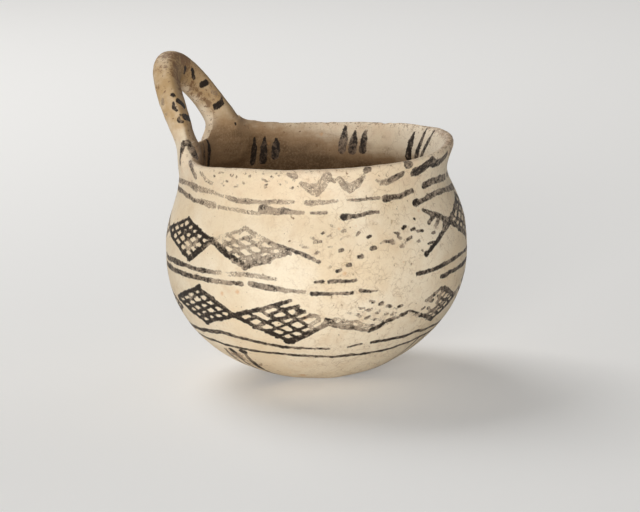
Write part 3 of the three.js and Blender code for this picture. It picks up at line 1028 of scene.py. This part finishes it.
def layStrokes(strokes, across, up, radius, edge, load, lengthUp):
    if not len(across):
        return
    order = np.tile(np.argsort(across), 3)
    keys = across[order] + np.repeat((-2 * np.pi, 0, 2 * np.pi), len(across))
    low, high = up.min() - 2 * laying["reach"], up.max() + 2 * laying["reach"]
    for path in strokes:
        path = [(math.radians(turn), lengthUp(height), wide, full) for turn, height, wide, full in path]
        for start, end in zip(path, path[1:]):
            if max(start[1], end[1]) < low or min(start[1], end[1]) > high:
                continue
            reach = laying["reach"] + max(start[2], end[2])
            turn = reach / laying["leastRadius"]
            sides = sorted((start[0], end[0]))
            first, last = np.searchsorted(keys, (sides[0] - turn, sides[1] + turn))
            near = order[first:last]
            above, below = min(start[1], end[1]) - reach, max(start[1], end[1]) + reach
            near = near[(up[near] > above) & (up[near] < below)]
            wide = radius[near]
            share, away = segmentShare(turned(across[near] - start[0]) * wide, up[near] - start[1],
                                       (end[0] - start[0]) * wide, end[1] - start[1])
            away -= (start[2] + (end[2] - start[2]) * share) / 2
            keepNearest(edge, load, near, away, start[3] + (end[3] - start[3]) * share)


def lengthAlong(face):
    heights = np.linspace(0, cup["lipHeight"] + laying["levelsOver"], laying["levels"])
    radii = faceRadius(face, np.minimum(heights, rollHeight))
    steps = np.hypot(np.diff(radii), np.diff(heights))
    return heights, np.concatenate([[0], np.cumsum(steps)])


wearLightAndShade = {
    # where the brown and painted shade of the inside begin, and the most they reach: direction in degrees,
    # height, share; they reach higher towards the handle
    "brownAndShadeBorder": (
        (-180, 93, 0.6), (-150, 88, 0.8), (-90, 78, 1), (0, 71, 1), (40, 71, 0.9), (60, 73.5, 0.9),
        (88, 77.4, 0.95), (110, 81.8, 1), (137, 88, 0.95), (150, 91.5, 0.86), (165, 94, 0.74),
        (180, 94, 0.66),
    ),
    "brownAndShadeFade": 13.0,
    # from the first height down to the second the brown and painted shade grow denser, and then paler, by
    # the share
    "denser": (68, 56, 0.6),
    "washedOut": (62, 46, 0.4),
    # painted shade on the faces of the loop turned to this side, away from the lamps, and how far its faces
    # turn that way
    "shadedSide": (0.93, 0.37, 0.0),
    "shadeFrom": {"far": 0.22, "near": 0.05},
    "shadeSlope": 1.7,
    "shadeHeights": (76, 82),
    "shadeTurn": 2.2,
    "shadeShare": 0.55,
    # painted light: the wall and lip on that side, turned in towards the lamps, are made paler
    "litSlope": 1.5,
    "litSides": (24, 36),
    "litHeights": (70, 74),
    # the worn edge of the lip, which fades where the lip rises to the loop
    "rimDepth": 2.4,
    "rimFade": 1.4,
}

# Brown stains, and painted shadow on the shaded faces of the loop's legs: (x, y, z) of the middle, reach
# and strength, in mm
stainsAndShade = (
    ((-48.9, -5.4, 112.3), 5, 0.85),
    ((-46.3, -7.5, 109), 4, 0.8),
    ((-46.8, 2.1, 110), 6, 0.85),
    ((-45.3, -11, 106.7), 3.5, 0.8),
    ((-44.4, -10.6, 104.2), 3.5, 0.8),
    ((-42.8, -12.3, 100.9), 3.5, 0.7),
    ((-48.5, -11.2, 109.6), 4, 0.6),
    # the next seven are painted shadow on the far leg, beside its pale lit strip
    ((-45.3, 4.3, 100.2), 2.2, 0.9),
    ((-44.6, 6, 98.2), 2, 0.85),
    ((-44, 7.7, 96.3), 2, 0.85),
    ((-43, 8.7, 94.5), 2, 0.85),
    ((-42.1, 9.7, 92.7), 2, 0.8),
    ((-40.8, 10.9, 89.3), 2, 0.6),
    ((-41, 12, 95), 5, 0.45),
    ((-49.5, -15.5, 102), 4, 0.35),
    # painted shade on the near leg's face turned to the cup
    ((-37, -17, 90), 6, 0.4),
    ((-17, -33, 12), 6, 0.7),
    ((-11, -33, 9), 5, 0.6),
    ((-27, -37, 79.5), 3, 0.5),
    ((-20, -42, 79.5), 4, 0.4),
)

# Painted light: the pale lit strip along the inside of the far leg
paintedLightSpots = (
    ((-47.6, 3.2, 98), 1.9, 1),
    ((-46.3, 6.6, 94.2), 2.1, 1),
    ((-44.4, 8.7, 90.6), 2.3, 1),
    ((-43.1, 10, 87.2), 2.6, 1),
)

# Rust spots: middle, reach and strength, in mm
rustSpots = (
    ((-15.3, -49.8, 38.2), 1.3, 0.8),
    ((-8.9, -51.5, 39.4), 1.3, 0.8),
    ((2.5, -24.8, 4.7), 1.8, 1.0),
    ((13.8, -48.3, 30.5), 1.3, 0.9),
)


def spread(places, spots):
    share = np.zeros(len(places))
    for middle, reach, strength in spots:
        away = np.linalg.norm(places - np.array(middle), axis=1)
        share = np.maximum(share, strength * np.exp(-((away / reach) ** 2)))
    return share


def layPaint(places, azimuth, radius, outside):
    height = places[:, 2]
    edge, load = np.full(len(places), laying["reach"]), np.zeros(len(places))
    sides = ((outside, outsideStrokes, outerFace), (~outside, insideStrokes, innerFace))
    for mask, strokes, face in sides:
        chosen = np.flatnonzero(mask & (height < cup["lipHeight"] + laying["overLip"]))
        heights, lengths = lengthAlong(face)
        part, partLoad = edge[chosen], load[chosen]
        layStrokes(strokes, azimuth[chosen], np.interp(height[chosen], heights, lengths), radius[chosen],
                   part, partLoad, lambda h: float(np.interp(h, heights, lengths)))
        edge[chosen], load[chosen] = part, partLoad
    for direction, level, reach, strength in flaked:
        along = turned(azimuth - math.radians(direction)) * radius
        load -= strength * np.exp(-(along**2 + (height - level) ** 2) / reach**2) * outside
    under = np.flatnonzero(outside & (height < laying["underHeight"]))
    for path in underStrokes:
        for start, end in zip(path, path[1:]):
            _, away = segmentShare(places[under, 0] - start[0], places[under, 1] - start[1],
                                   end[0] - start[0], end[1] - start[1])
            keepNearest(edge, load, under, away - start[2] / 2, start[3])
    everywhere = np.arange(len(places))
    for start, end, width, full in loopMarks:
        start, step = np.array(start), np.array(end) - np.array(start)
        share = np.clip((places - start) @ step / max(step @ step, 1e-9), 0, 1)
        away = np.linalg.norm(places - start - share[:, None] * step, axis=1) - width / 2
        keepNearest(edge, load, everywhere, away, full)
    return edge, load


# brown of the inside with painted shade, deeper below the lip and towards the handle
def brownAndShadeInside(height, azimuth, outside):
    directions, borders, shares = zip(*wearLightAndShade["brownAndShadeBorder"])
    border, most = (np.interp(np.degrees(azimuth), directions, values) for values in (borders, shares))
    start, end, share = wearLightAndShade["denser"]
    most += ramp(height, start, end) * (1 - most) * share
    inner = np.where(outside, 0.0, np.clip((border - height) / wearLightAndShade["brownAndShadeFade"], 0, most))
    start, end, share = wearLightAndShade["washedOut"]
    return inner * (1 - share * ramp(height, start, end))


def paintedLightAndShade(places, normals, azimuth):
    # painted light on faces turned to the lamps, and painted shade on the loop's faces turned away from
    # them
    height = places[:, 2]
    facing, side = normals @ np.array(wearLightAndShade["shadedSide"]), places @ np.array(wearLightAndShade["shadedSide"])
    least = np.where(azimuth > 0, wearLightAndShade["shadeFrom"]["far"], wearLightAndShade["shadeFrom"]["near"])
    shade = np.clip((facing - least) * wearLightAndShade["shadeSlope"], 0, 1)
    shade *= ramp(height, *wearLightAndShade["shadeHeights"]) * (azimuth**2 > wearLightAndShade["shadeTurn"] ** 2)
    turnedToLight = np.clip(-facing * wearLightAndShade["litSlope"], 0, 1) * ramp(side, *wearLightAndShade["litSides"])
    paintedLight = np.maximum(spread(places, paintedLightSpots), turnedToLight * ramp(height, *wearLightAndShade["litHeights"]))
    return paintedLight, wearLightAndShade["shadeShare"] * shade * (1 - paintedLight)


def wornRim(height, azimuth):
    lift = np.array([liftAt(turn) for turn in azimuth % (2 * np.pi)])
    rim = ramp(height - lift, cup["lipHeight"] - wearLightAndShade["rimDepth"], cup["lipHeight"])
    return rim * np.clip(1 - wearLightAndShade["rimFade"] * lift / cup["lipRise"], 0, 1)


def paint(piece):
    mesh = piece.data
    places = placesOf(mesh) / mm
    azimuth = np.arctan2(places[:, 1], places[:, 0])
    radius = np.hypot(places[:, 0], places[:, 1])
    height = places[:, 2]
    level = np.clip(height, 0, rollHeight)
    sway = ramp(height, cup["swayStart"], cup["lipHeight"]) ** cup["swayCurve"]
    wallMiddle = (faceRadius(outerFace, level) + faceRadius(innerFace, level)) / 2
    wallMiddle += sway * cup["lipSway"] * np.cos(azimuth)
    outside = (radius > wallMiddle) | (height < cup["floorThickness"] / 2)
    edge, load = layPaint(places, azimuth, radius, outside)
    # painted light and painted shade, from the way the faces turn to the lamps
    paintedLight, paintedShade = paintedLightAndShade(places, normalsOf(mesh), azimuth)
    # what the finish reads: mm from the edge of the nearest stroke, its load of paint, and shares
    layers = {
        "paintEdge": edge,
        "paintLoad": load,
        # brown and painted shade of the inside, and painted shade on the loop
        "brownAndShade": np.maximum(brownAndShadeInside(height, azimuth, outside), paintedShade),
        "stainAndShade": spread(places, stainsAndShade),
        "rust": spread(places, rustSpots),
        # painted light
        "paintedLight": paintedLight,
        "rim": wornRim(height, azimuth),
    }
    for name, values in layers.items():
        layer = mesh.attributes.new(name, "FLOAT", "POINT")
        layer.data.foreach_set("value", values.astype(np.float32))


# Slip and paint, with painted light and shade

slip = {
    "cream": (0.850, 0.685, 0.466, 1),
    "pale": (0.930, 0.800, 0.600, 1),
    "warm": (0.700, 0.500, 0.300, 1),
    "rosy": (0.840, 0.615, 0.430, 1),
    "stainAndShade": (0.205, 0.102, 0.046, 1),
    "crack": (0.360, 0.210, 0.100, 1),
    "rust": (0.700, 0.330, 0.110, 1),
    # the pale colour of the painted light
    "bright": (0.970, 0.860, 0.680, 1),
    # darker tan of the loop
    "loopTan": (0.500, 0.322, 0.145, 1),
    "thinPaint": (0.280, 0.200, 0.140, 1),
    "densePaint": (0.024, 0.015, 0.009, 1),
    # brown of the inside with painted shade, and its deeper painted shade
    "insideBrownAndShade": (0.330, 0.193, 0.090, 1),
    "insideDeepShadeAndBrown": (0.128, 0.071, 0.028, 1),
    "wornRim": (0.330, 0.190, 0.110, 1),
}

# How strongly each colour of the slip shows where it lies
tints = {
    "warmClouds": 0.4,
    "rosyLip": 0.5,
    "insideBrownAndShade": 0.92,
    "insideDeepShadeAndBrown": 0.9,
    "warmGrain": 0.3,
    "bright": 0.6,
    "crazing": 0.55,
    "specks": 0.8,
    "rustClouds": 0.35,
    "rustSpots": 0.6,
    "stainsAndShade": 0.75,
    "wornRim": 0.45,
    "rimGrime": 0.6,
    "thinPaint": 0.71,
}

# Cells per mm of the two nets of fine cracks and of the specks, and how much noise bends them
crazing = {
    "net": 0.20,
    "fineNet": 0.42,
    "specks": 0.55,
    "warp": 0.35,
    "bend": 5.0,
}

# Noises: size per mm, detail, roughness
grains = {
    "broad": (0.035, 4.0, 0.5),
    "middling": (0.16, 5.0, 0.6),
    "grain": (1.4, 6.0, 0.65),
    "dust": (4.5, 3.0, 0.6),
    "wiped": (0.35, 4.0, 0.6),
    "crazedPatches": (0.05, 3.0, 0.5),
    "crazedGaps": (0.3, 3.0, 0.5),
    "rustClouds": (0.24, 2.0, 0.5),
    "stainAndShadeEdges": (0.7, 6.0, 0.75),
    "rimEdges": (0.45, 4.0, 0.7),
    "rimGrime": (0.9, 4.0, 0.75),
    "flecks": (2.4, 3.0, 0.7),
    "strokeSway": (0.28, 2.0, 0.5),
    "strokeEdges": (0.95, 4.0, 0.65),
    "paintWear": (1.1, 6.0, 0.8),
    "paintDepth": (0.6, 6.0, 0.75),
}


def slippedClay():
    clay = Finish(bpy.data.materials.new("slippedClay"))
    place = clay.add("ShaderNodeTexCoord", output="Object")
    spot = clay.scaled(place, (1 / mm,) * 3)
    height = clay.add("ShaderNodeSeparateXYZ", {}, {0: spot}, "Z")
    broad = clay.noise(spot, *grains["broad"])
    middling = clay.noise(spot, *grains["middling"])
    grain = clay.noise(spot, *grains["grain"])
    dust = clay.noise(spot, *grains["dust"])

    tone = clay.mix(clay.smooth(broad, 0.35, 0.65), slip["cream"], slip["pale"])
    tone = clay.mix(clay.smooth(middling, 0.45, 0.75) * tints["warmClouds"], tone, slip["warm"])
    lipShare = clay.smooth(height, 66.0, 82.0) * clay.smooth(middling, 0.3, 0.7)
    tone = clay.mix(lipShare * tints["rosyLip"], tone, slip["rosy"])
    # brown inside, with painted shade deeper down and towards the handle, and painted shade on the loop's
    # faces turned from the lamps
    depth = clay.attribute("brownAndShade")
    wiped = clay.noise(clay.scaled(spot, (0.25, 0.25, 1.6)), *grains["wiped"])
    brownedAndShaded = depth + (middling + wiped - 1.0) * 0.45 * clay.smooth(depth, 0.0, 0.2)
    tone = clay.mix(clay.smooth(brownedAndShaded, 0.0, 0.62) * tints["insideBrownAndShade"], tone, slip["insideBrownAndShade"])
    tone = clay.mix(clay.smooth(brownedAndShaded, 0.5, 1.1) * tints["insideDeepShadeAndBrown"], tone, slip["insideDeepShadeAndBrown"])
    tone = clay.mix(clay.smooth(grain, 0.42, 0.78) * tints["warmGrain"], tone, slip["warm"])
    # the loop, from 82 mm up, is darker and tanner, less so under the painted light
    loopTanShare = clay.smooth(height, 82.0, 94.0) * (0.55 + clay.smooth(middling, 0.3, 0.7) * 0.42)
    # painted light: paler where the lamps fall on the inside of the lip and along the far leg
    paintedLight = clay.attribute("paintedLight")
    tone = clay.mix(loopTanShare * (1 - paintedLight * 0.75), tone, slip["loopTan"])
    tone = clay.mix(paintedLight * tints["bright"], tone, slip["bright"])

    # Hairline crazing, small and large
    warp = clay.add("ShaderNodeTexNoise", {}, {"Vector": spot, "Scale": crazing["warp"], "Detail": 3.0},
                    "Color")
    bent = clay.add("ShaderNodeVectorMath", {"operation": "MULTIPLY_ADD"},
                    {0: warp, 1: (crazing["bend"],) * 3, 2: spot})
    net, fineNet = (clay.add("ShaderNodeTexVoronoi", {"feature": "DISTANCE_TO_EDGE"},
                             {"Vector": bent, "Scale": crazing[name]}) for name in ("net", "fineNet"))
    side = clay.add("ShaderNodeVectorMath", {"operation": "DOT_PRODUCT"},
                    {0: spot, 1: wearLightAndShade["shadedSide"]}, "Value")
    crazed = 0.25 + clay.smooth(side, -22.0, 14.0) * 0.75
    patches = clay.smooth(clay.noise(spot, *grains["crazedPatches"]), 0.40, 0.60)
    crack = (1 - clay.smooth(net, 0.005, 0.030)) * 0.7
    crack = crack + (1 - clay.smooth(fineNet, 0.008, 0.055)) * 0.7 * patches
    gaps = clay.smooth(clay.noise(spot, *grains["crazedGaps"]), 0.34, 0.58)
    crack = clay.maths("MINIMUM", crack, 1.0) * gaps * crazed
    tone = clay.mix(crack * tints["crazing"], tone, slip["crack"])

    # Pits and specks
    cells, chance = (clay.add("ShaderNodeTexVoronoi", {"feature": "F1"},
                              {"Vector": bent, "Scale": crazing["specks"]}, what)
                     for what in ("Distance", "Color"))
    pick = clay.add("ShaderNodeSeparateColor", {}, {0: chance}, "Red")
    rough = cells + (dust - 0.5) * 0.2
    stainAndShadePlace = clay.attribute("stainAndShade")
    grimy = clay.smooth(height, 70.0, 76.0) + stainAndShadePlace * 2.6
    speck = 1 - clay.smooth(rough, 0.10, 0.18 + grimy * 0.05)
    speck = speck * clay.smooth(pick + grimy * 0.2, 0.86, 0.90)
    tone = clay.mix(speck * tints["specks"], tone, slip["stainAndShade"])
    rust = clay.smooth(clay.noise(spot, *grains["rustClouds"]), 0.70, 0.78) * tints["rustClouds"]
    rustSpot = clay.smooth(clay.attribute("rust") + (dust - 0.5) * 0.9, 0.35, 0.85) * tints["rustSpots"]
    tone = clay.mix(clay.maths("MAXIMUM", rust, rustSpot), tone, slip["rust"])

    # Stains and painted shadow on the loop's legs, and the edge of the lip where the slip has gone
    mottled = (middling - 0.5) * 1.1 + (clay.noise(spot, *grains["stainAndShadeEdges"]) - 0.5) * 2.4
    # stains, with painted shadow on the legs of the loop
    stainAndShade = clay.smooth(stainAndShadePlace + mottled, 0.45, 0.80) * clay.smooth(stainAndShadePlace, 0.04, 0.2)
    tone = clay.mix(stainAndShade * tints["stainsAndShade"], tone, slip["stainAndShade"])
    patchy = (grain - 0.5) * 1.6 + (clay.noise(spot, *grains["rimEdges"]) - 0.5) * 2.2
    rimPlace = clay.attribute("rim")
    rim = clay.smooth(rimPlace + patchy + clay.smooth(side, 34.0, 47.0) * 0.4, 1.05, 1.3)
    tone = clay.mix(rim * tints["wornRim"], tone, slip["wornRim"])
    grime = clay.smooth(clay.noise(spot, *grains["rimGrime"]) + rimPlace * 0.11, 0.63, 0.69)
    grime = grime * clay.smooth(rimPlace, 0.02, 0.2)
    tone = clay.mix(grime * tints["rimGrime"], tone, slip["stainAndShade"])

    # Painted strokes, ragged at the edge and worn where the brush ran dry
    edge = clay.attribute("paintEdge")
    load = clay.attribute("paintLoad")
    flecks = clay.noise(spot, *grains["flecks"])
    ragged = edge + (clay.noise(spot, *grains["strokeSway"]) - 0.5) * 0.6
    ragged = ragged + (clay.noise(spot, *grains["strokeEdges"]) - 0.5) * 1.1 + (flecks - 0.5) * 0.7
    within = 1 - clay.smooth(ragged, -0.16, 0.16)
    rubbed = (clay.noise(spot, *grains["paintWear"]) - 0.5) * 1.5 + (flecks - 0.5) * 1.5
    cover = clay.smooth(load + rubbed, 0.34, 0.60)
    dense = clay.smooth(load + (clay.noise(spot, *grains["paintDepth"]) - 0.5) * 1.6, 0.55, 1.0)
    colour = clay.mix(dense, slip["thinPaint"], slip["densePaint"])
    painted = within * cover
    tone = clay.mix(painted * (tints["thinPaint"] + (1 - tints["thinPaint"]) * dense), tone, colour)

    relief = grain * 0.05 + dust * 0.03 + broad * 0.5 - crack * 0.06 - speck * 0.12 + painted * 0.02
    normal = clay.add("ShaderNodeBump", {}, {"Height": relief, "Distance": mm, "Strength": 1.0}, "Normal")
    roughness = 0.58 + grain * 0.18 - painted * 0.06
    coat = clay.add("ShaderNodeBsdfPrincipled", {}, {"Base Color": tone, "Roughness": roughness,
                                                     "Normal": normal, "Specular IOR Level": 0.35})
    clay.finish(coat)
    return clay.owner


clayFinish = slippedClay()
for name, (low, high, nodes) in strips.items():
    piece = cutStrip(name, low, high)
    paint(piece)
    piece.data.materials.append(clayFinish)
    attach(piece, "root")
    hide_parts(*nodes)
    print(name, "made:", len(piece.data.polygons), "faces")
